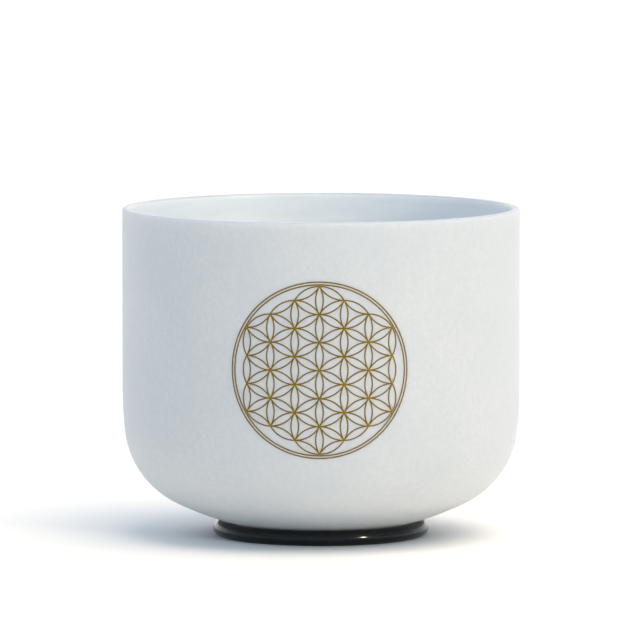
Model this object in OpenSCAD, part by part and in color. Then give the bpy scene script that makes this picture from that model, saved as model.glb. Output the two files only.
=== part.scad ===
// Frosted quartz singing bowl that stands loose in a rubber ring, with a gold lattice
// motif on its front. Sizes are in millimetres. The origin is on the table under the
// middle of the bowl, +Z is up, and the motif faces -Y.

/* [Bowl] */
// Outside diameter of the straight wall
bowl_d = 203.2; // [165:0.1:260]
// Height of the rim above the table
rim_h = 167.9; // [138:0.1:210]
// Thickness of the quartz
wall = 4; // [3:0.1:6]
// Rounding of the two edges of the rim
rim_round = 1.2; // [0.5:0.1:1.4]

/* [Curve of the bowl] */
// Radius of the slow curve just under the straight wall
belly_r = 226; // [120:1:300]
// Radius of the round shoulder
shoulder_r = 45.4; // [36:0.1:56]
// Slope in degrees where the slow curve passes into the shoulder
belly_slope = 84.2; // [80:0.1:88]
// Slope in degrees where the shoulder passes into the base
base_slope = 26; // [24:0.5:32]
// Space between the table and the middle of the underside
base_gap = 3; // [1:0.1:5]

/* [Rubber ring] */
// Inside diameter of the rubber ring
ring_inner_d = 94.5; // [78:0.1:114]
// Thickness of the ring's round cord
cord_d = 8; // [6.5:0.1:10]
// Depth to which the bowl's weight presses the cord flat on the table
cord_press = 0.25; // [0.1:0.05:0.6]
// Space between the ring and the quartz
seat_gap = 0.2; // [0.05:0.05:0.4]

/* [Gold motif] */
// Width of the motif, measured round the wall
motif_w = 90.9; // [60:0.1:110]
// Height of the motif divided by its width
motif_stretch = 0.983; // [0.9:0.001:1.05]
// Distance from the rim down to the motif's middle
motif_drop = 73.9; // [60:0.1:80]
// Width of each gold line
line_w = 0.68; // [0.4:0.02:0.9]
// Distance between the two lines of the border
border_step = 1.4; // [1:0.05:3]
// Gap between the tips of the lattice and the border
tip_gap = 0.05; // [0.02:0.01:0.3]
// Thickness of the gold
gold_t = 0.1; // [0.05:0.01:0.3]
// Rows of petals from the middle of the lattice to each of its six corners
rings = 3; // [1:1:4]

/* [Hidden] */

// Fineness of the rings that the outlines are turned into.
$fn = 128;
// Straight steps along each stretch of the bowl's outline, from the middle outwards.
crown_steps = 8;
base_steps = 4;
shoulder_steps = 14;
belly_steps = 4;
rim_steps = 4;
// Straight steps along a motif circle, a petal's side and a field's side.
circle_steps = 90;
petal_steps = 6;
field_steps = 4;

bowl_r = bowl_d / 2;
cord_r = cord_d / 2;
ring_r = ring_inner_d / 2 + cord_r;
cord_z = cord_r - cord_press;

// Unit vector that points square off the outline, where the outline has this slope.
function square_to(slope) = [sin(slope), -cos(slope)];

// Point at a distance in a direction on the flat motif.
function polar(distance, angle) = distance * [cos(angle), sin(angle)];

// Centres of the outline's arcs as radius from the axis. The base arc is centred on the axis.
belly_cx = bowl_r - belly_r;
shoulder_cx = belly_cx + (belly_r - shoulder_r) * sin(belly_slope);
base_r = shoulder_r + shoulder_cx / sin(base_slope);

// The base arc rests on the ring's cord, and the heights follow from there up.
reach = base_r + cord_r + seat_gap;
base_cz = cord_z + sqrt(pow(reach, 2) - pow(ring_r, 2));
shoulder_cz = base_cz - (base_r - shoulder_r) * cos(base_slope);
wall_foot_z = shoulder_cz + (belly_r - shoulder_r) * cos(belly_slope);

// The crown is the middle of the underside, inside the line where the ring seats.
seat_slope = asin(ring_r / reach);
seat_r = base_r * sin(seat_slope);
seat_z = base_cz - base_r * cos(seat_slope);
crown_power = seat_r * tan(seat_slope) / (seat_z - base_gap);

// Outside point where the outline has this slope, from the seat up to the wall.
function outer_at(slope) =
    slope >= belly_slope ? [belly_cx, wall_foot_z] + belly_r * square_to(slope)
    : slope >= base_slope ? [shoulder_cx, shoulder_cz] + shoulder_r * square_to(slope)
    : [0, base_cz] + base_r * square_to(slope);

// The crown rises as a power of the radius, level in the middle and tangent at the seat.
function crown_at(share) = [seat_r * share, base_gap + (seat_z - base_gap) * pow(share, crown_power)];
function crown_slope(share) = atan(tan(seat_slope) * pow(share, crown_power - 1));

// Slopes in even steps, without the last one.
function slopes(from, to, steps) = [for (i = [0:steps - 1]) from + (to - from) * i / steps];
arc_slopes = concat(
    slopes(seat_slope, base_slope, base_steps),
    slopes(base_slope, belly_slope, shoulder_steps),
    slopes(belly_slope, 90, belly_steps),
    [90]
);

// Outline from the middle of the underside to the foot of the wall, moved inwards by depth.
function crown_path(depth) = [
    for (i = [0:crown_steps - 1])
        let (share = i / crown_steps)
        crown_at(share) - depth * square_to(crown_slope(share))
];
function arc_path(depth) = [for (s = arc_slopes) outer_at(s) - depth * square_to(s)];
function reversed(list) = [for (i = [len(list) - 1:-1:0]) list[i]];

// Quarter turn round one edge of the rim.
function rim_edge(cx, from) = [
    for (i = [0:rim_steps])
        [cx, rim_h - rim_round] + polar(rim_round, from + 90 * i / rim_steps)
];

// A motif point, given as distance round the wall and height, laid on the bowl's outside.
// The height runs down the straight wall and on along the curve under it.
belly_len = belly_r * (90 - belly_slope) * PI / 180;
function slope_below(d) =
    d <= 0 ? 90
    : d <= belly_len ? 90 - d / belly_r * 180 / PI
    : belly_slope - (d - belly_len) / shoulder_r * 180 / PI;
function laid(p) =
    let (
        height = rim_h - motif_drop + p[1] * motif_stretch,
        below = wall_foot_z - height,
        on_bowl = below <= 0 ? [bowl_r, height] : outer_at(slope_below(below))
    )
    [on_bowl[0] * sin(p[0] / bowl_r * 180 / PI), on_bowl[1]];

border_r = motif_w / 2 - line_w / 2;
inner_border_r = border_r - border_step;
petal_r = (inner_border_r - line_w - tip_gap) / rings;
hole_r = petal_r - line_w / 2;
edge_r = petal_r + line_w / 2;

// Points on an arc in even steps, with or without its last point.
function arc(centre, r, from, to, steps, last) = [
    for (i = [0:last ? steps : steps - 1])
        centre + polar(r, from + (to - from) * i / steps)
];

// The lattice's crossings lie on a hexagon with a corner at its top.
function crossing(i, j) = petal_r * [i * sin(60), j + i / 2];
function inside(i, j) = max(abs(i), abs(j), abs(i + j)) <= rings;

// Opening of one petal, between a crossing and its neighbour in this direction.
petal_half = acos(petal_r * sin(60) / hole_r);
function petal(start, direction) = concat(
    arc(start + polar(petal_r, direction + 60), hole_r,
        direction - 90 - petal_half, direction - 90 + petal_half, petal_steps, false),
    arc(start + polar(petal_r, direction - 60), hole_r,
        direction + 90 - petal_half, direction + 90 + petal_half, petal_steps, false)
);

// Opening of one three-sided field, between a crossing and two neighbours, the first of
// them in this direction and the second 60 degrees further round.
field_tip = petal_r / sqrt(3) - sqrt(pow(edge_r, 2) - pow(petal_r, 2));
field_half = asin(field_tip * sin(60) / edge_r);
function field(start, direction) =
    let (middle = start + polar(petal_r / sqrt(3), direction + 30))
    [
        for (k = [0:2])
            let (side = direction - 90 + 120 * k)
            each reversed(arc(middle + polar(2 * petal_r / sqrt(3), side), edge_r,
                side + 180 - field_half, side + 180 + field_half, field_steps, true))
    ];

// Outer edge of the lattice: along each side, one arc for each petal.
corner_turn = acos(petal_r / 2 / edge_r);
function lattice_edge() = [
    for (k = [0:5], j = [0:rings - 1])
        let (
            along = 210 + 60 * k,
            start = polar(rings * petal_r, 90 + 60 * k) + polar(j * petal_r, along),
            from = j == 0 ? along - 120 : along - 180 + corner_turn,
            to = j == rings - 1 ? along - 60 : along - corner_turn
        )
        each arc(start + polar(petal_r, along + 60), edge_r, from, to, petal_steps, false)
];

module flat_shape(points) {
    polygon([for (p = points) laid(p)]);
}

module circle_line(r) {
    difference() {
        flat_shape(arc([0, 0], r + line_w / 2, 0, 360, circle_steps, false));
        flat_shape(arc([0, 0], r - line_w / 2, 0, 360, circle_steps, false));
    }
}

module lattice_lines() {
    difference() {
        flat_shape(lattice_edge());
        for (i = [-rings:rings], j = [-rings:rings]) {
            if (inside(i, j)) {
                if (inside(i, j + 1)) flat_shape(petal(crossing(i, j), 90));
                if (inside(i + 1, j)) flat_shape(petal(crossing(i, j), 30));
                if (inside(i + 1, j - 1)) flat_shape(petal(crossing(i, j), -30));
                if (inside(i + 1, j) && inside(i, j + 1)) flat_shape(field(crossing(i, j), 30));
                if (inside(i + 1, j - 1) && inside(i + 1, j)) flat_shape(field(crossing(i, j), -30));
            }
        }
    }
}

// Gold on the front of the bowl wherever the flat drawing covers it.
module gilded() {
    skin_top = [bowl_r, rim_h - rim_round];
    intersection() {
        rotate_extrude()
            polygon(concat(
                arc_path(0),
                [skin_top, skin_top + [gold_t, 0]],
                reversed(arc_path(-gold_t))
            ));
        rotate([90, 0, 0])
            linear_extrude(bowl_r + 2 * gold_t)
                children();
    }
}

module rubber_ring() {
    color([0.03, 0.03, 0.03])
    rotate_extrude()
        intersection() {
            translate([ring_r, cord_z])
                circle(cord_r);
            translate([ring_r - cord_r, 0])
                square([cord_d, cord_d]);
        }
}

module quartz_bowl() {
    color([0.86, 0.88, 0.89])
    rotate_extrude()
        polygon(concat(
            crown_path(0),
            arc_path(0),
            rim_edge(bowl_r - rim_round, 0),
            rim_edge(bowl_r - wall + rim_round, 90),
            reversed(arc_path(wall)),
            reversed(crown_path(wall))
        ));
}

module motif_border_outer() {
    color([0.62, 0.48, 0.16])
    gilded()
        circle_line(border_r);
}

module motif_border_inner() {
    color([0.62, 0.48, 0.16])
    gilded()
        circle_line(inner_border_r);
}

module motif_lattice() {
    color([0.62, 0.48, 0.16])
    gilded()
        lattice_lines();
}

rubber_ring();
quartz_bowl();
motif_border_outer();
motif_border_inner();
motif_lattice();
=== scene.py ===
"""Looks of a frosted quartz singing bowl in its rubber ring, with a gold lattice motif.

The file is laid out as an add-on and run as a script. It builds every visible piece as a
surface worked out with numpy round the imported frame, and a plain studio to see it in.
Lengths are metres and angles are radians, unless a name says otherwise.
"""

import math

import bmesh
import bpy
import numpy as np
from bpy.props import FloatProperty, FloatVectorProperty, IntProperty, PointerProperty
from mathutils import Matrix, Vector


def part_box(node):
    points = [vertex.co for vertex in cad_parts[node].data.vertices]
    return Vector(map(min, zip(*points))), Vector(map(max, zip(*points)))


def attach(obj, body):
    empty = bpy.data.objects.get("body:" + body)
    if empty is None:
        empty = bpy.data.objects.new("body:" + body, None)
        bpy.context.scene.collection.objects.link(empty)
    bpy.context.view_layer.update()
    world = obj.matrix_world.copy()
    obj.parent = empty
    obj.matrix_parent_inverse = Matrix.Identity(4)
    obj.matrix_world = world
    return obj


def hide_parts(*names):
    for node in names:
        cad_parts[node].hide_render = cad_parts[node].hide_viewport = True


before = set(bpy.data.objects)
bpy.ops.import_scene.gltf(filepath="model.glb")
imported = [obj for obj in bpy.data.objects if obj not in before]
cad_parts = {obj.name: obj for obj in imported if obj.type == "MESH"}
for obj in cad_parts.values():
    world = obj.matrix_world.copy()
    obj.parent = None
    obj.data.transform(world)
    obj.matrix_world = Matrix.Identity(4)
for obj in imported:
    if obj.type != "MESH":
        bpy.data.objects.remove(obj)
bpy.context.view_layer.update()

bl_info = {
    "name": "Quartz Singing Bowl",
    "version": (1, 0, 0),
    "blender": (4, 5, 0),
    "location": "3D View > Sidebar > Singing Bowl",
    "description": "Builds a frosted quartz singing bowl in its rubber ring",
    "category": "Object",
}

MM = 0.001
BODY_OF_BOWL = "bowl"
BODY_OF_RING = "stand_ring"


def node_reach(node):
    """Largest distance of a node's mesh from the bowl's axis, which its turned wall has."""
    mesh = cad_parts[node].data
    points = np.empty(len(mesh.vertices) * 3)
    mesh.vertices.foreach_get("co", points)
    return float(np.hypot(*points.reshape(-1, 3)[:, :2].T).max())


BOWL_R = node_reach("quartz_bowl")
RING_R = node_reach("rubber_ring")
RIM_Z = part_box("quartz_bowl")[1][2]
UNDERSIDE_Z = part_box("quartz_bowl")[0][2]
TABLE_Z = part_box("rubber_ring")[0][2]

# The floor is flat round the bowl and rises to a low lip far away, so that a view at the
# bowl's own height doesn't look past the floor's edge.
FLOOR_R = 11.0
FLOOR_FLAT_R = 6.0
FLOOR_LIP = 0.6
FLOOR_ROWS = 23
FLOOR_AROUND = 96

# Direction from the bowl to the middle of the soft light behind it.
BACK_WAY = (0, 0.97, 0.24)
CAMERA_REACH = 100

# Points nearer to each other than this are merged, and those nearer than the second length
# to the axis don't stray.
MERGE_GAP = 0.002 * MM
AXIS_GAP = 1 * MM

# Steps along the crown, base, shoulder, belly and wall of the bowl, for its mesh and for
# telling its inside from its outside. Then steps on a rim edge and round the bowl.
BOWL_STEPS = (20, 8, 40, 14, 50)
SHADE_STEPS = (40, 20, 80, 30, 100)
RIM_STEPS = 8
BOWL_AROUND = 256

# Steps round the ring's cord and round the ring, and half the width of its moulding seam.
CORD_AROUND = 72
RING_AROUND = 320
SEAM_HALF = 0.25 * MM

# Points across a border line over its top and under it, and points round the border.
BORDER_TOP = 11
BORDER_UNDER = 5
BORDER_AROUND = 360
# Points along and across each strip of the lattice.
STRIP_ALONG = 13
STRIP_ACROSS = 5
# Share of the gold's height that is sunk in the quartz, and how many line widths the
# brighter gold reaches from a crossing.
SUNK_SHARE = 0.3
MEETING_REACH = 2.6


# ---------------------------------------------------------------- settings


def length(name, description, default):
    return FloatProperty(name=name, description=description, default=default, unit="LENGTH", precision=5)


def turn(name, description, degrees):
    return FloatProperty(name=name, description=description, default=math.radians(degrees), subtype="ANGLE")


def strength(name, description, default):
    return FloatProperty(name=name, description=description, default=default, min=0)


def colour(name, description, default):
    """A linear red, green, blue and alpha."""
    return FloatVectorProperty(name=name, description=description, default=default, size=4,
                               subtype="COLOR", min=0, max=1)


class BowlSettings(bpy.types.PropertyGroup):
    wall: length("Wall", "Thickness of the quartz", 4 * MM)
    rim_round: length("Rim rounding", "Radius of the two edges of the rim", 1.2 * MM)
    belly_radius: length("Belly radius", "Slow curve just under the straight wall", 226 * MM)
    shoulder_radius: length("Shoulder radius", "Round shoulder over the base", 45.4 * MM)
    belly_slope: turn("Belly slope", "Slope where the slow curve meets the shoulder", 84.2)
    base_slope: turn("Base slope", "Slope where the shoulder meets the base", 26)
    waviness: length("Waviness", "How far the melted wall strays from a true circle", 0.12 * MM)
    frost: colour("Frost", "Colour of the frosted quartz", (0.585, 0.605, 0.618, 1))
    cloud: colour("Cloud", "Colour of the milkier patches in the quartz", (0.62, 0.632, 0.63, 1))
    # The edge colour is painted shade: it darkens and greys the top of the rim, which faces the light from
    # above, so that it is no brighter than the wall.
    edge: colour("Edge", "Colour of the ground edge of the rim", (0.46, 0.50, 0.55, 1))
    # The inside colour is in part painted light: it is whiter than the frost to stand in for the light that
    # falls inside the bowl, while the smoother skin is the bowl's own.
    inside: colour("Inside", "Colour of the smoother inside of the bowl", (0.76, 0.79, 0.81, 1))


class RingSettings(bpy.types.PropertyGroup):
    cord: length("Cord", "Thickness of the rubber cord", 8 * MM)
    press: length("Press", "How far the weight presses the cord flat on the table", 0.25 * MM)
    seam: length("Seam", "Height of the moulding seam round the cord", 0.02 * MM)
    seat_gap: length("Seat gap", "Space between the cord and the quartz", 0.2 * MM)
    black: colour("Black", "Colour of the rubber", (0.004, 0.004, 0.004, 1))
    dust: colour("Dust", "Colour of the dust that clings to the rubber", (0.014, 0.014, 0.015, 1))


class MotifSettings(bpy.types.PropertyGroup):
    width: length("Width", "Width of the motif, measured round the wall", 90.9 * MM)
    stretch: FloatProperty(name="Stretch", description="Height of the motif over its width", default=0.983)
    drop: length("Drop", "Distance from the rim down to the motif's middle", 73.9 * MM)
    line: length("Line", "Width of each gold line", 0.74 * MM)
    border_step: length("Border step", "Distance between the border's two lines", 1.4 * MM)
    tip_gap: length("Tip gap", "Gap between the lattice's tips and the border", 0.05 * MM)
    height: length("Height", "How proud the gold stands in the middle of a line", 0.11 * MM)
    rows: IntProperty(name="Rows", description="Rows of petals from the middle to a corner",
                      default=3, min=1)
    gold: colour("Gold", "Colour of the gold along the lines", (0.205, 0.125, 0.001, 1))
    bright_gold: colour("Bright gold", "Colour of the gold where lines meet", (0.27, 0.165, 0.001, 1))


class StageSettings(bpy.types.PropertyGroup):
    floor: colour("Floor", "Colour of the floor", (0.98, 0.97, 0.95, 1))
    sky: colour("Sky", "Colour of the soft light from all round", (0.44, 0.71, 1.0, 1))
    sky_strength: strength("Sky strength", "Strength of the soft light from all round", 0.62)
    back: colour("Back", "Colour of the soft light from behind the bowl", (1.0, 0.80, 0.62, 1))
    back_strength: strength("Back strength", "Strength of the soft light from behind the bowl", 1.25)
    key: colour("Key", "Colour of the high light at the right", (1.0, 0.80, 0.60, 1))
    key_strength: strength("Key strength", "Strength of the high light at the right", 0.68)
    key_height: turn("Key height", "Angle of the high light above the table", 68)
    low: colour("Low", "Colour of the low light at the right", (1.0, 0.89, 0.67, 1))
    low_strength: strength("Low strength", "Strength of the low light at the right", 0.30)
    low_height: turn("Low height", "Angle of the low light above the table", 10)
    lights_turn: turn("Lights turn", "Angle of the high and low lights round the bowl", 47)
    key_softness: turn("Key softness", "Angle that the high light fills as seen from the bowl", 50)
    low_softness: turn("Low softness", "Angle that the low light fills as seen from the bowl", 5)
    camera_distance: length("Camera distance", "From the camera to the point it looks at", 4.0)
    camera_height: turn("Camera height", "Angle of the camera above the table", 5.23)
    camera_turn: turn("Camera turn", "Angle of the camera round the bowl", 0.45)
    camera_aim: length("Camera aim", "Height of the point that the camera looks at", 110.1 * MM)
    camera_side: length("Camera side", "How far the camera looks to the side of the axis", -0.5 * MM)
    camera_lens: FloatProperty(name="Camera lens", description="Focal length in millimetres", default=440)


class SingingBowlSettings(bpy.types.PropertyGroup):
    bowl: PointerProperty(type=BowlSettings)
    ring: PointerProperty(type=RingSettings)
    motif: PointerProperty(type=MotifSettings)
    stage: PointerProperty(type=StageSettings)


# ---------------------------------------------------------------- the bowl's shape


class Outline:
    """Outside of the bowl as a line turned about the axis.

    A straight wall passes through a slow curve, a shoulder and a base arc centred on the
    axis, each tangent to the next. The base arc rests on the rubber cord. Inside that seat
    the underside rises as a power of the radius. Slope is measured up from level, so the
    wall has a slope of a quarter turn.
    """

    def __init__(self, settings):
        bowl, ring = settings.bowl, settings.ring
        self.wall = bowl.wall
        self.rim_round = bowl.rim_round
        self.belly_r, self.shoulder_r = bowl.belly_radius, bowl.shoulder_radius
        self.belly_slope, self.base_slope = bowl.belly_slope, bowl.base_slope
        self.waviness = bowl.waviness
        cord_r = ring.cord / 2
        ring_mid_r = RING_R - cord_r
        self.belly_cx = BOWL_R - self.belly_r
        self.shoulder_cx = self.belly_cx + (self.belly_r - self.shoulder_r) * math.sin(self.belly_slope)
        self.base_r = self.shoulder_r + self.shoulder_cx / math.sin(self.base_slope)
        reach = self.base_r + cord_r + ring.seat_gap
        self.base_cz = TABLE_Z + cord_r - ring.press + math.sqrt(reach**2 - ring_mid_r**2)
        self.shoulder_cz = self.base_cz - (self.base_r - self.shoulder_r) * math.cos(self.base_slope)
        self.foot_z = self.shoulder_cz + (self.belly_r - self.shoulder_r) * math.cos(self.belly_slope)
        self.seat_slope = math.asin(ring_mid_r / reach)
        self.seat_r = self.base_r * math.sin(self.seat_slope)
        self.seat_z = self.base_cz - self.base_r * math.cos(self.seat_slope)
        self.crown_power = self.seat_r * math.tan(self.seat_slope) / (self.seat_z - UNDERSIDE_Z)

    def at_slope(self, slope):
        """Radius and height where the outline has this slope: the centre of the arc that the
        slope falls on, plus its radius times the unit vector square to the slope."""
        arc = [slope >= self.belly_slope, slope >= self.base_slope]
        cx = np.select(arc, [self.belly_cx, self.shoulder_cx], 0)
        cz = np.select(arc, [self.foot_z, self.shoulder_cz], self.base_cz)
        r = np.select(arc, [self.belly_r, self.shoulder_r], self.base_r)
        return cx + r * np.sin(slope), cz - r * np.cos(slope)

    def below_rim(self, drop):
        """Radius, height and slope at a distance down the outside, along the wall and on
        round the curves: the slope falls by the distance over the radius of each arc."""
        below = drop - (RIM_Z - self.foot_z)
        belly_len = self.belly_r * (math.pi / 2 - self.belly_slope)
        slope = np.select(
            [below <= 0, below <= belly_len],
            [math.pi / 2, math.pi / 2 - below / self.belly_r],
            self.belly_slope - (below - belly_len) / self.shoulder_r,
        )
        r, z = self.at_slope(slope)
        return np.where(below <= 0, BOWL_R, r), np.where(below <= 0, RIM_Z - drop, z), slope

    def path(self, steps):
        """Radius, height and slope from the middle of the underside to the top of the wall,
        with the numbers of steps on the crown, base, shoulder, belly and wall."""
        crown, base, shoulder, belly, wall = steps
        share = np.linspace(0, 1, crown, endpoint=False)
        slope = np.arctan(math.tan(self.seat_slope) * share ** (self.crown_power - 1))
        rise = (self.seat_z - UNDERSIDE_Z) * share**self.crown_power
        rows = [np.stack([self.seat_r * share, UNDERSIDE_Z + rise, slope])]
        stops = [self.seat_slope, self.base_slope, self.belly_slope, math.pi / 2]
        for first, last, count in zip(stops, stops[1:], (base, shoulder, belly)):
            slope = np.linspace(first, last, count, endpoint=False)
            rows.append(np.stack([*self.at_slope(slope), slope]))
        height = np.linspace(self.foot_z, RIM_Z - self.rim_round, wall)
        rows.append(np.stack([height * 0 + BOWL_R, height, height * 0 + math.pi / 2]))
        return np.concatenate(rows, axis=1)

    def stray(self, angle, z):
        """How far the wall strays outwards: a few slow waves round the bowl whose phase
        drifts with height, fading to nothing at the seat."""
        grip = np.clip((z - self.seat_z) / (RIM_Z - self.seat_z), 0, 1) ** 0.7
        up = 9 * z
        waves = (0.45 * np.cos(2 * angle + 0.6 + up) + 0.30 * np.cos(3 * angle + 2.1 - 1.7 * up)
                 + 0.15 * np.cos(5 * angle + 4.0 + 2.3 * up) + 0.10 * np.cos(9 * angle - 3 * up))
        return self.waviness * grip * waves


def moved(r, z, slope, depth):
    """The line's points moved square off the outline, inwards by depth."""
    return r - depth * np.sin(slope), z + depth * np.cos(slope)


# ---------------------------------------------------------------- meshes


def grid_faces(rows, columns, closed_rows=False, closed_columns=False, start=0):
    """Four-sided faces of a grid of rows times columns points, joined end to end if closed."""
    i = np.arange(rows if closed_rows else rows - 1)[:, None]
    j = np.arange(columns if closed_columns else columns - 1)[None, :]
    a, b = i * columns + j, i * columns + (j + 1) % columns
    c, d = (i + 1) % rows * columns + (j + 1) % columns, (i + 1) % rows * columns + j
    return start + np.stack([a, b, c, d], axis=-1).reshape(-1, 4)


def make_mesh(name, points, faces, material, closed=True):
    """A mesh object at the origin from arrays of points and four-sided faces. Points that
    fall together are merged, and the faces of a closed surface are then turned outwards."""
    mesh = bpy.data.meshes.new(name)
    mesh.from_pydata(points.reshape(-1, 3), [], faces.tolist())
    build = bmesh.new()
    build.from_mesh(mesh)
    bmesh.ops.remove_doubles(build, verts=build.verts, dist=MERGE_GAP)
    if closed:
        bmesh.ops.recalc_face_normals(build, faces=build.faces)
    build.to_mesh(mesh)
    build.free()
    mesh.polygons.foreach_set("use_smooth", np.full(len(mesh.polygons), True))
    mesh.materials.append(material)
    mesh.update()
    piece = bpy.data.objects.new(name, mesh)
    bpy.context.scene.collection.objects.link(piece)
    return piece


def mesh_points(piece):
    points = np.empty(len(piece.data.vertices) * 3)
    piece.data.vertices.foreach_get("co", points)
    return points.reshape(-1, 3)


def turned(name, r, z, angles, material, loop=False, stray=None):
    """A line of radius and height turned about the axis: x and y are the radius times the
    cosine and sine of the angle. The line is a loop, or has both ends on the axis."""
    a, r, z = angles[None, :], r[:, None], z[:, None]
    r = r + (stray(a, z) if stray else 0) * (r > AXIS_GAP)
    points = np.stack([r * np.cos(a), r * np.sin(a), z + a * 0], axis=-1)
    faces = grid_faces(len(z), len(angles), closed_rows=loop, closed_columns=True)
    return make_mesh(name, points, faces, material)


# ---------------------------------------------------------------- materials


def new_material(name):
    material = bpy.data.materials.new(name)
    material.use_nodes = True
    nodes = material.node_tree.nodes
    nodes.clear()
    shader = nodes.new("ShaderNodeBsdfPrincipled")
    output = nodes.new("ShaderNodeOutputMaterial")
    material.node_tree.links.new(shader.outputs["BSDF"], output.inputs["Surface"])
    return material, shader


def add_node(material, kind, **values):
    """A node with its settings and unlinked inputs. An input named a_b is "A B"; a node
    socket given as a value is linked."""
    node = material.node_tree.nodes.new("ShaderNode" + kind)
    for key, value in values.items():
        if hasattr(node, key):
            setattr(node, key, value)
            continue
        name = key.replace("_", " ").title()
        socket = node.inputs[int(key[1:])] if key[0] == "i" and key[1:].isdigit() else node.inputs[name]
        plug(material, value, socket)
    return node


def plug(material, value, socket):
    if isinstance(value, bpy.types.NodeSocket):
        material.node_tree.links.new(value, socket)
    else:
        socket.default_value = value


def object_place(material, scale=(1, 1, 1)):
    """The place on the piece, from its own coordinates, stretched by scale."""
    place = add_node(material, "TexCoord")
    if tuple(scale) == (1, 1, 1):
        return place.outputs["Object"]
    return add_node(material, "Mapping", vector_type="POINT", Vector=place.outputs["Object"],
                    Scale=scale).outputs["Vector"]


def noise(material, place, scale, detail=3.0, roughness=0.5):
    return add_node(material, "TexNoise", Vector=place, Scale=scale, Detail=detail,
                    Roughness=roughness).outputs["Fac"]


def between(material, factor, low, high, from_min=0.0, from_max=1.0):
    """A number that runs from low to high as factor runs over its range."""
    node = add_node(material, "MapRange", i0=factor, i1=from_min, i2=from_max, i3=low, i4=high)
    return node.outputs[0]


def mixed(material, factor, first, second):
    """A colour mixed from two, by factor."""
    node = add_node(material, "Mix", data_type="RGBA")
    plug(material, factor, node.inputs[0])
    plug(material, first, node.inputs[6])
    plug(material, second, node.inputs[7])
    return node.outputs[2]


def darker(tint, share):
    """The colour times share, with its alpha left at one."""
    return tuple(c * share for c in tint[:3]) + (1,)


def frosted_quartz(bowl):
    """Milky quartz glass. Light spreads inside the wall, and some patches are cloudier. The outside has a
    sand-blasted skin with a fine grain; the inside is the smoother, melted skin, coloured whiter than the
    outside as painted light for the light that falls inside the bowl. The top of the rim is painted shade:
    it is coloured darker and greyer than the wall."""
    material, shader = new_material("frosted quartz")
    place = object_place(material)
    inside = add_node(material, "Attribute", attribute_name="inside").outputs["Fac"]
    clouds = noise(material, place, scale=22, detail=4, roughness=0.55)
    mottle = noise(material, place, scale=420, detail=2, roughness=0.6)
    grain = noise(material, place, scale=2200, detail=2, roughness=0.6)
    streaks = noise(material, object_place(material, (1, 1, 6)), scale=30, detail=3, roughness=0.6)
    cloudy = between(material, clouds, low=0, high=1, from_min=0.35, from_max=0.65)
    skin = mixed(material, cloudy, tuple(bowl.frost), tuple(bowl.cloud))
    pitted = between(material, mottle, low=0.5, high=0.0, from_min=0.35, from_max=0.65)
    skin = mixed(material, pitted, skin, darker(bowl.frost, 0.93))
    streaky = between(material, streaks, low=0.0, high=1.0, from_min=0.35, from_max=0.65)
    # Painted light: the inside's colour is whiter than the frost to stand in for the light that falls
    # inside the bowl; the streaks in it are its own tone.
    inside_skin_and_painted_light = mixed(material, streaky, tuple(bowl.inside), darker(bowl.inside, 0.95))
    # Painted shade: the top of the rim, picked out by its height, is mixed towards the darker, greyer edge
    # colour so that it looks less lit.
    height = add_node(material, "SeparateXYZ", Vector=place).outputs["Z"]
    painted_shade = between(material, height, low=0.0, high=1.0, from_min=RIM_Z - bowl.rim_round,
                     from_max=RIM_Z - 0.3 * bowl.rim_round)
    skin = mixed(material, inside, skin, inside_skin_and_painted_light)
    plug(material, mixed(material, painted_shade, skin, tuple(bowl.edge)), shader.inputs["Base Color"])
    blasted = between(material, mottle, low=0.46, high=0.62)
    plug(material, between(material, inside, blasted, 0.30), shader.inputs["Roughness"])
    shader.inputs["IOR"].default_value = 1.46
    shader.inputs["Subsurface Weight"].default_value = 0.75
    shader.inputs["Subsurface Radius"].default_value = (1.0, 1.0, 1.0)
    shader.inputs["Subsurface Scale"].default_value = 9 * MM
    rough = add_node(material, "Bump", Strength=between(material, inside, 0.25, 0.03),
                     Distance=0.05 * MM, Height=grain)
    plug(material, add_node(material, "Bump", Strength=between(material, inside, 0.20, 0.04),
                            Distance=0.25 * MM, Height=mottle, Normal=rough.outputs["Normal"])
         .outputs["Normal"], shader.inputs["Normal"])
    return material


def gilding(motif):
    """Satin gold, brighter and yellower where lines meet, with a brushed-on unevenness."""
    material, shader = new_material("satin gold")
    place = object_place(material)
    meeting = add_node(material, "Attribute", attribute_name="meeting").outputs["Fac"]
    patches = noise(material, place, scale=350, detail=3, roughness=0.6)
    gold = mixed(material, meeting, tuple(motif.gold), tuple(motif.bright_gold))
    thin = between(material, patches, low=0.5, high=0, from_min=0.35, from_max=0.6)
    plug(material, mixed(material, thin, gold, darker(motif.gold, 0.7)), shader.inputs["Base Color"])
    shader.inputs["Metallic"].default_value = 0.25
    shader.inputs["Specular IOR Level"].default_value = 0.1
    plug(material, between(material, patches, low=0.34, high=0.52), shader.inputs["Roughness"])
    grain = noise(material, place, scale=3000, detail=2, roughness=0.6)
    plug(material, add_node(material, "Bump", Strength=0.2, Distance=0.03 * MM, Height=grain)
         .outputs["Normal"], shader.inputs["Normal"])
    return material


def black_rubber(ring):
    """Satin black rubber with a little clinging dust and fine mould marks."""
    material, shader = new_material("black rubber")
    place = object_place(material)
    dust = noise(material, place, scale=160, detail=5, roughness=0.65)
    grain = noise(material, place, scale=1400, detail=3, roughness=0.6)
    dusty = between(material, dust, low=0, high=0.35, from_min=0.58, from_max=0.8)
    rubber = mixed(material, dusty, tuple(ring.black), tuple(ring.dust))
    plug(material, rubber, shader.inputs["Base Color"])
    plug(material, between(material, dust, low=0.12, high=0.18, from_min=0.35, from_max=0.7),
         shader.inputs["Roughness"])
    shader.inputs["Specular IOR Level"].default_value = 0.4
    plug(material, add_node(material, "Bump", Strength=0.12, Distance=0.05 * MM, Height=grain)
         .outputs["Normal"], shader.inputs["Normal"])
    return material


# ---------------------------------------------------------------- pieces


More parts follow.
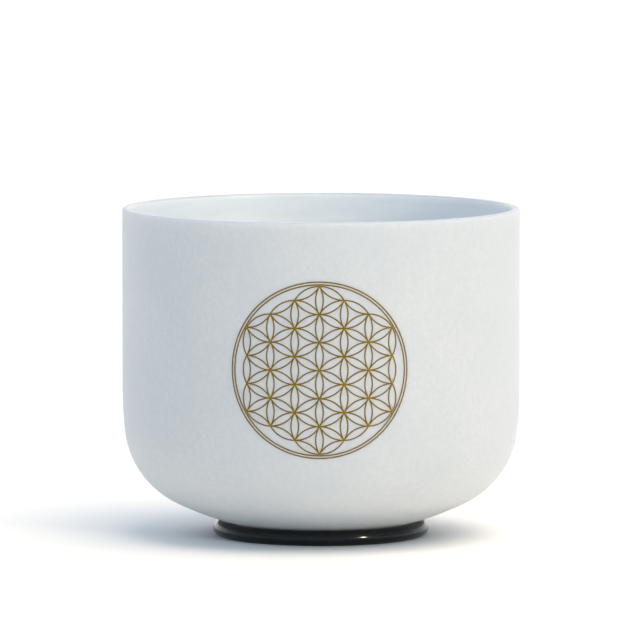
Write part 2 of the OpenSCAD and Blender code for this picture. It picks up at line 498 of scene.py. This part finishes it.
class SINGING_BOWL_OT_ring(bpy.types.Operator):
    """Make the rubber ring that the bowl stands in"""

    bl_idname = "singing_bowl.ring"
    bl_label = "Rubber Ring"

    def execute(self, context):
        ring = context.scene.singing_bowl.ring
        cord_r = ring.cord / 2
        middle_r, middle_z = RING_R - cord_r, TABLE_Z + cord_r - ring.press
        around = np.linspace(0, 2 * math.pi, CORD_AROUND, endpoint=False)
        # The seam is a bell curve of the height above the middle of the cord.
        seam = ring.seam * np.exp(-((np.sin(around) * cord_r / SEAM_HALF) ** 2))
        r = middle_r + (cord_r + seam - ring.seam) * np.cos(around)
        z = np.maximum(middle_z + cord_r * np.sin(around), TABLE_Z)
        angles = np.linspace(0, 2 * math.pi, RING_AROUND, endpoint=False)
        piece = turned("black_rubber_ring", r, z, angles, black_rubber(ring), loop=True)
        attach(piece, BODY_OF_RING)
        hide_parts("rubber_ring")
        return {"FINISHED"}


def shade_inside(piece, outline):
    """Mark each point as inside or outside: from none at the outer line of the wall to one
    at its inner line, by the share of the wall's thickness that lies outside the point."""
    r, z, slope = outline.path(SHADE_STEPS)
    middle = np.stack(moved(r, z, slope, outline.wall / 2), axis=-1)
    square = np.stack([np.sin(slope), -np.cos(slope)], axis=-1)
    points = mesh_points(piece)
    flat = np.stack([np.hypot(points[:, 0], points[:, 1]), points[:, 2]], axis=-1)
    near = np.linalg.norm(flat[:, None] - middle[None], axis=2).argmin(axis=1)
    depth = -((flat - middle[near]) * square[near]).sum(axis=1)
    inside = np.clip(0.5 + 2 * (depth / outline.wall - 0.2), 0, 1)
    piece.data.attributes.new("inside", "FLOAT", "POINT").data.foreach_set("value", inside)


class SINGING_BOWL_OT_bowl(bpy.types.Operator):
    """Make the frosted quartz bowl with its rounded rim"""

    bl_idname = "singing_bowl.bowl"
    bl_label = "Quartz Bowl"

    def execute(self, context):
        settings = context.scene.singing_bowl
        outline = Outline(settings)
        path = outline.path(BOWL_STEPS)
        out_r, out_z = path[0], path[1]
        in_r, in_z = moved(*path, outline.wall)
        quarter = np.linspace(0, math.pi / 2, RIM_STEPS + 1)
        rising, falling = quarter[1:], quarter[:-1]
        edge = outline.rim_round
        rim_r = np.concatenate([
            BOWL_R - edge + edge * np.cos(rising),
            BOWL_R - outline.wall + edge - edge * np.sin(falling),
        ])
        rim_z = RIM_Z - edge + edge * np.concatenate([np.sin(rising), np.cos(falling)])
        r = np.concatenate([out_r, rim_r, in_r[::-1]])
        z = np.concatenate([out_z, rim_z, in_z[::-1]])
        r = np.maximum(r, 0)
        angles = np.linspace(0, 2 * math.pi, BOWL_AROUND, endpoint=False)
        material = frosted_quartz(settings.bowl)
        piece = turned("frosted_quartz_bowl", r, z, angles, material, stray=outline.stray)
        shade_inside(piece, outline)
        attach(piece, BODY_OF_BOWL)
        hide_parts("quartz_bowl")
        return {"FINISHED"}


def polar(distance, angle):
    return np.stack([distance * np.cos(angle), distance * np.sin(angle)], axis=-1)


class Motif:
    """The flat drawing of the motif, and how it is laid on the bowl.

    The lattice's crossings lie on a hexagon with a corner at its top. Every petal is the
    lens between two arcs whose radius is the distance between crossings. The gold is a net
    of strips: each runs from the rim of an opening, at its edge, to the middle of the line.
    """

    def __init__(self, settings):
        motif = settings.motif
        self.outline = Outline(settings)
        self.stretch, self.drop, self.height = motif.stretch, motif.drop, motif.height
        self.line, self.rows = motif.line, motif.rows
        self.border_r = (motif.width - motif.line) / 2
        self.inner_r = self.border_r - motif.border_step
        self.petal_r = (self.inner_r - self.line - motif.tip_gap) / self.rows

    def crossings(self):
        """Flat places of all crossings, and their whole-number coordinates."""
        i, j = np.meshgrid(*[np.arange(-self.rows, self.rows + 1)] * 2)
        keep = np.maximum(np.maximum(abs(i), abs(j)), abs(i + j)) <= self.rows
        i, j = i[keep], j[keep]
        return self.petal_r * np.stack([i * math.sin(math.pi / 3), j + i / 2], axis=-1), i, j

    def laid(self, flat, lift):
        """Flat points laid on the outside of the bowl and lifted square off it. The first
        coordinate runs round the wall, so the angle is it over the bowl's radius. The second
        runs up the outline."""
        r, z, slope = self.outline.below_rim(self.drop - flat[..., 1] * self.stretch)
        angle = flat[..., 0] / BOWL_R - math.pi / 2
        r, z = moved(r, z, slope, -lift)
        r = r + self.outline.stray(angle, z)
        return np.stack([r * np.cos(angle), r * np.sin(angle), z], axis=-1)

    def crowned(self, share):
        """Lift at a share of the way from a line's edge to its middle: a quarter ellipse
        that starts just inside the quartz."""
        sunk = SUNK_SHARE * self.height
        return -sunk + (self.height + sunk) * np.sqrt(share * (2 - share))

    def strips(self):
        """Centres, edge radii, edge angles and line angles of all the lattice's strips. Each
        strip lies between an arc at its opening's edge and the middle arc of the line, both
        about the same centre."""
        places, i, j = self.crossings()
        sixth = math.pi / 3
        half_line, radius = self.line / 2, self.petal_r

        def has(di, dj):
            return np.maximum(np.maximum(abs(i + di), abs(j + dj)), abs(i + j + di + dj)) <= self.rows

        hole_r, edge_r = radius - half_line, radius + half_line
        petal_half = math.acos(radius * math.sin(sixth) / hole_r)
        field_tip = radius / math.sqrt(3) - math.sqrt(edge_r**2 - radius**2)
        field_half = math.asin(field_tip * math.sin(sixth) / edge_r)
        neighbours = {math.pi / 2: (0, 1), math.pi / 6: (1, 0), -math.pi / 6: (1, -1)}
        found = []
        for direction, step in neighbours.items():
            start = places[has(*step)]
            for side in (1, -1):
                centre = start + polar(radius, np.array(direction + side * sixth))
                middle = direction - side * math.pi / 2
                found.append((centre, hole_r, (middle - petal_half, middle + petal_half),
                              (middle - sixth / 2, middle + sixth / 2)))
        for direction, steps in ((math.pi / 6, ((1, 0), (0, 1))), (-math.pi / 6, ((1, -1), (1, 0)))):
            start = places[has(*steps[0]) & has(*steps[1])]
            centroid = start + polar(radius / math.sqrt(3), np.array(direction + sixth / 2))
            for k in range(3):
                side = direction - math.pi / 2 + 2 * sixth * k
                centre = centroid + polar(2 * radius / math.sqrt(3), np.array(side))
                middle = side + math.pi
                found.append((centre, edge_r, (middle - field_half, middle + field_half),
                              (middle - sixth / 2, middle + sixth / 2)))
        corner = math.acos(radius / 2 / edge_r)
        for k in range(6):
            along = math.radians(210) + sixth * k
            for n in range(self.rows):
                start = polar(self.rows * radius, np.array(math.pi / 2 + sixth * k))
                start = start + polar(n * radius, np.array(along))
                centre = start + polar(radius, np.array(along + sixth))
                low = along - 2 * sixth if n == 0 else along - math.pi + corner
                high = along - sixth if n == self.rows - 1 else along - corner
                found.append((centre[None], edge_r, (low, high), (along - 2 * sixth, along - sixth)))
        return found


def gold_piece(name, motif, flat, lift, faces, material):
    """Gold laid on the bowl, with how near each point is to a crossing as an attribute."""
    piece = make_mesh(name, motif.laid(flat, lift), faces, material)
    mesh = piece.data
    meeting = np.zeros(len(mesh.vertices))
    if name == "gold_lattice":
        places = motif.crossings()[0]
        spots = motif.laid(places, np.zeros(len(places)))
        gaps = np.linalg.norm(mesh_points(piece)[:, None, :] - spots[None], axis=2).min(axis=1)
        meeting = np.clip(1 - gaps / (MEETING_REACH * motif.line), 0, 1) ** 0.8
    mesh.attributes.new("meeting", "FLOAT", "POINT").data.foreach_set("value", meeting)
    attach(piece, BODY_OF_BOWL)
    return piece


class SINGING_BOWL_OT_borders(bpy.types.Operator):
    """Make the two gold border circles of the motif"""

    bl_idname = "singing_bowl.borders"
    bl_label = "Gold Borders"

    def execute(self, context):
        settings = context.scene.singing_bowl
        motif = Motif(settings)
        material = gilding(settings.motif)
        # Each border is a crowned top across the line, and a sunk underside back to its start,
        # carried round a circle.
        top, under = np.linspace(-1, 1, BORDER_TOP), np.linspace(1, -1, BORDER_UNDER)[1:-1]
        across = np.concatenate([top, under])
        share = np.where(np.arange(len(across)) < BORDER_TOP, 1 - abs(across), 0)
        around = np.linspace(0, 2 * math.pi, BORDER_AROUND, endpoint=False)
        for ring, r in (("outer", motif.border_r), ("inner", motif.inner_r)):
            radius = r + across[:, None] * motif.line / 2
            flat = polar(radius, around[None, :] + radius * 0)
            lift = motif.crowned(share)[:, None] + radius * 0 + around * 0
            faces = grid_faces(len(across), len(around), closed_rows=True, closed_columns=True)
            piece = gold_piece("gold_border_" + ring, motif, flat, lift, faces, material)
            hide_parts("motif_border_" + ring)
        return {"FINISHED"}


class SINGING_BOWL_OT_lattice(bpy.types.Operator):
    """Make the gold petal lattice of the motif"""

    bl_idname = "singing_bowl.lattice"
    bl_label = "Gold Lattice"

    def execute(self, context):
        settings = context.scene.singing_bowl
        motif = Motif(settings)
        material = bpy.data.materials.get("satin gold") or gilding(settings.motif)
        along = np.linspace(0, 1, STRIP_ALONG)[:, None]
        share = np.linspace(0, 1, STRIP_ACROSS)[None, :]
        # A strip runs straight from an opening's edge to the middle of the line. It is made
        # twice, once crowned for the top and once sunk for the underside.
        flats, lifts, faces, start = [], [], [], 0
        for centres, edge_r, edge, line in motif.strips():
            edge_arc = polar(edge_r, edge[0] + along * (edge[1] - edge[0]))
            line_arc = polar(motif.petal_r, line[0] + along * (line[1] - line[0]))
            strip = edge_arc * (1 - share[..., None]) + line_arc * share[..., None]
            for lift in (motif.crowned(share), motif.crowned(share * 0)):
                flat = centres[:, None, None, :] + strip[None]
                flats.append(flat.reshape(-1, 2))
                lifts.append(np.broadcast_to(lift, flat.shape[:-1]).ravel())
                cells = grid_faces(len(along), share.size)
                offsets = start + np.arange(len(centres)) * len(along) * share.size
                faces.append((offsets[:, None, None] + cells[None]).reshape(-1, 4))
                start += len(flats[-1])
        piece = gold_piece("gold_lattice", motif, np.concatenate(flats), np.concatenate(lifts),
                           np.concatenate(faces), material)
        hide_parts("motif_lattice")
        return {"FINISHED"}


# ---------------------------------------------------------------- stage


def direction_to(around, up):
    """Unit vector at an angle round the bowl from its front and an angle above the table."""
    return Vector((math.sin(around) * math.cos(up), -math.cos(around) * math.cos(up), math.sin(up)))


def far_light(name, toward, angle, strength, tint):
    """A soft light from far away, whose strength is the brightness of a white board that
    faces it."""
    light = bpy.data.lights.new(name, "SUN")
    light.angle, light.energy, light.color = angle, strength * math.pi, tint[:3]
    lamp = bpy.data.objects.new(name, light)
    bpy.context.scene.collection.objects.link(lamp)
    lamp.rotation_mode = "QUATERNION"
    lamp.rotation_quaternion = toward.to_track_quat("Z", "Y")


def soft_dome(stage):
    """Light from all round: the sky's colour everywhere, and the back's colour times the
    square of the cosine of the angle from a direction behind the bowl."""
    world = bpy.data.worlds.new("studio")
    world.use_nodes = True
    place = add_node(world, "TexCoord").outputs["Generated"]
    facing = add_node(world, "VectorMath", operation="DOT_PRODUCT", i0=place, i1=BACK_WAY)
    lit = add_node(world, "Math", operation="MAXIMUM", i0=facing.outputs["Value"], i1=0.0)
    square = add_node(world, "Math", operation="MULTIPLY", i0=lit.outputs[0], i1=lit.outputs[0])
    glow = add_node(world, "VectorMath", operation="SCALE", i3=square.outputs[0],
                    i0=[c * stage.back_strength for c in stage.back[:3]])
    total = add_node(world, "VectorMath", operation="ADD", i0=glow.outputs["Vector"],
                     i1=[c * stage.sky_strength for c in stage.sky[:3]])
    plug(world, total.outputs["Vector"], world.node_tree.nodes["Background"].inputs["Color"])
    return world


class SINGING_BOWL_OT_stage(bpy.types.Operator):
    """Make the floor, the soft lights and the camera"""

    bl_idname = "singing_bowl.stage"
    bl_label = "Stage"

    def execute(self, context):
        stage = context.scene.singing_bowl.stage
        scene = context.scene
        scene.view_settings.view_transform = "Standard"

        material, shader = new_material("studio floor")
        plug(material, tuple(stage.floor), shader.inputs["Base Color"])
        shader.inputs["Roughness"].default_value = 0.9
        shader.inputs["Specular IOR Level"].default_value = 0.0
        # Beyond the flat part, the floor rises with the square of the distance from it.
        r = np.linspace(FLOOR_R, 0, FLOOR_ROWS)[:, None]
        angles = np.linspace(0, 2 * math.pi, FLOOR_AROUND, endpoint=False)[None, :]
        rise = FLOOR_LIP * (np.maximum(r - FLOOR_FLAT_R, 0) / (FLOOR_R - FLOOR_FLAT_R)) ** 2
        points = np.stack([r * np.cos(angles), r * np.sin(angles), TABLE_Z + rise + 0 * angles], axis=-1)
        faces = grid_faces(r.size, angles.size, closed_columns=True)
        make_mesh("floor", points, faces, material, closed=False)

        scene.world = soft_dome(stage)
        for name in ("key", "low"):
            toward = direction_to(stage.lights_turn, getattr(stage, name + "_height"))
            far_light(name, toward, getattr(stage, name + "_softness"), getattr(stage, name + "_strength"),
                      getattr(stage, name))

        camera = bpy.data.objects.new("camera", bpy.data.cameras.new("camera"))
        scene.collection.objects.link(camera)
        away = direction_to(stage.camera_turn, stage.camera_height)
        aim = Vector((stage.camera_side, 0, stage.camera_aim))
        camera.location = aim + stage.camera_distance * away
        camera.rotation_mode = "QUATERNION"
        camera.rotation_quaternion = away.to_track_quat("Z", "Y")
        camera.data.lens = stage.camera_lens
        camera.data.clip_end = CAMERA_REACH
        scene.camera = camera
        return {"FINISHED"}


# ---------------------------------------------------------------- panel and registration

MAKERS = (
    SINGING_BOWL_OT_stage,
    SINGING_BOWL_OT_ring,
    SINGING_BOWL_OT_bowl,
    SINGING_BOWL_OT_borders,
    SINGING_BOWL_OT_lattice,
)


class SINGING_BOWL_PT_panel(bpy.types.Panel):
    """Sizes, colours and makers of the singing bowl"""

    bl_label = "Singing Bowl"
    bl_space_type = "VIEW_3D"
    bl_region_type = "UI"
    bl_category = "Singing Bowl"

    def draw(self, context):
        settings = context.scene.singing_bowl
        for part in ("bowl", "ring", "motif", "stage"):
            group = getattr(settings, part)
            box = self.layout.box()
            box.label(text=part.title())
            for key in group.bl_rna.properties.keys():
                if key not in ("rna_type", "name"):
                    box.prop(group, key)
        for maker in MAKERS:
            self.layout.operator(maker.bl_idname)


CLASSES = (
    BowlSettings,
    RingSettings,
    MotifSettings,
    StageSettings,
    SingingBowlSettings,
    *MAKERS,
    SINGING_BOWL_PT_panel,
)


def register():
    for kind in CLASSES:
        bpy.utils.register_class(kind)
    bpy.types.Scene.singing_bowl = PointerProperty(type=SingingBowlSettings)


def unregister():
    del bpy.types.Scene.singing_bowl
    for kind in reversed(CLASSES):
        bpy.utils.unregister_class(kind)


def main():
    register()
    bpy.ops.singing_bowl.stage()
    bpy.ops.singing_bowl.ring()
    bpy.ops.singing_bowl.bowl()
    bpy.ops.singing_bowl.borders()
    bpy.ops.singing_bowl.lattice()


if __name__ == "__main__":
    main()
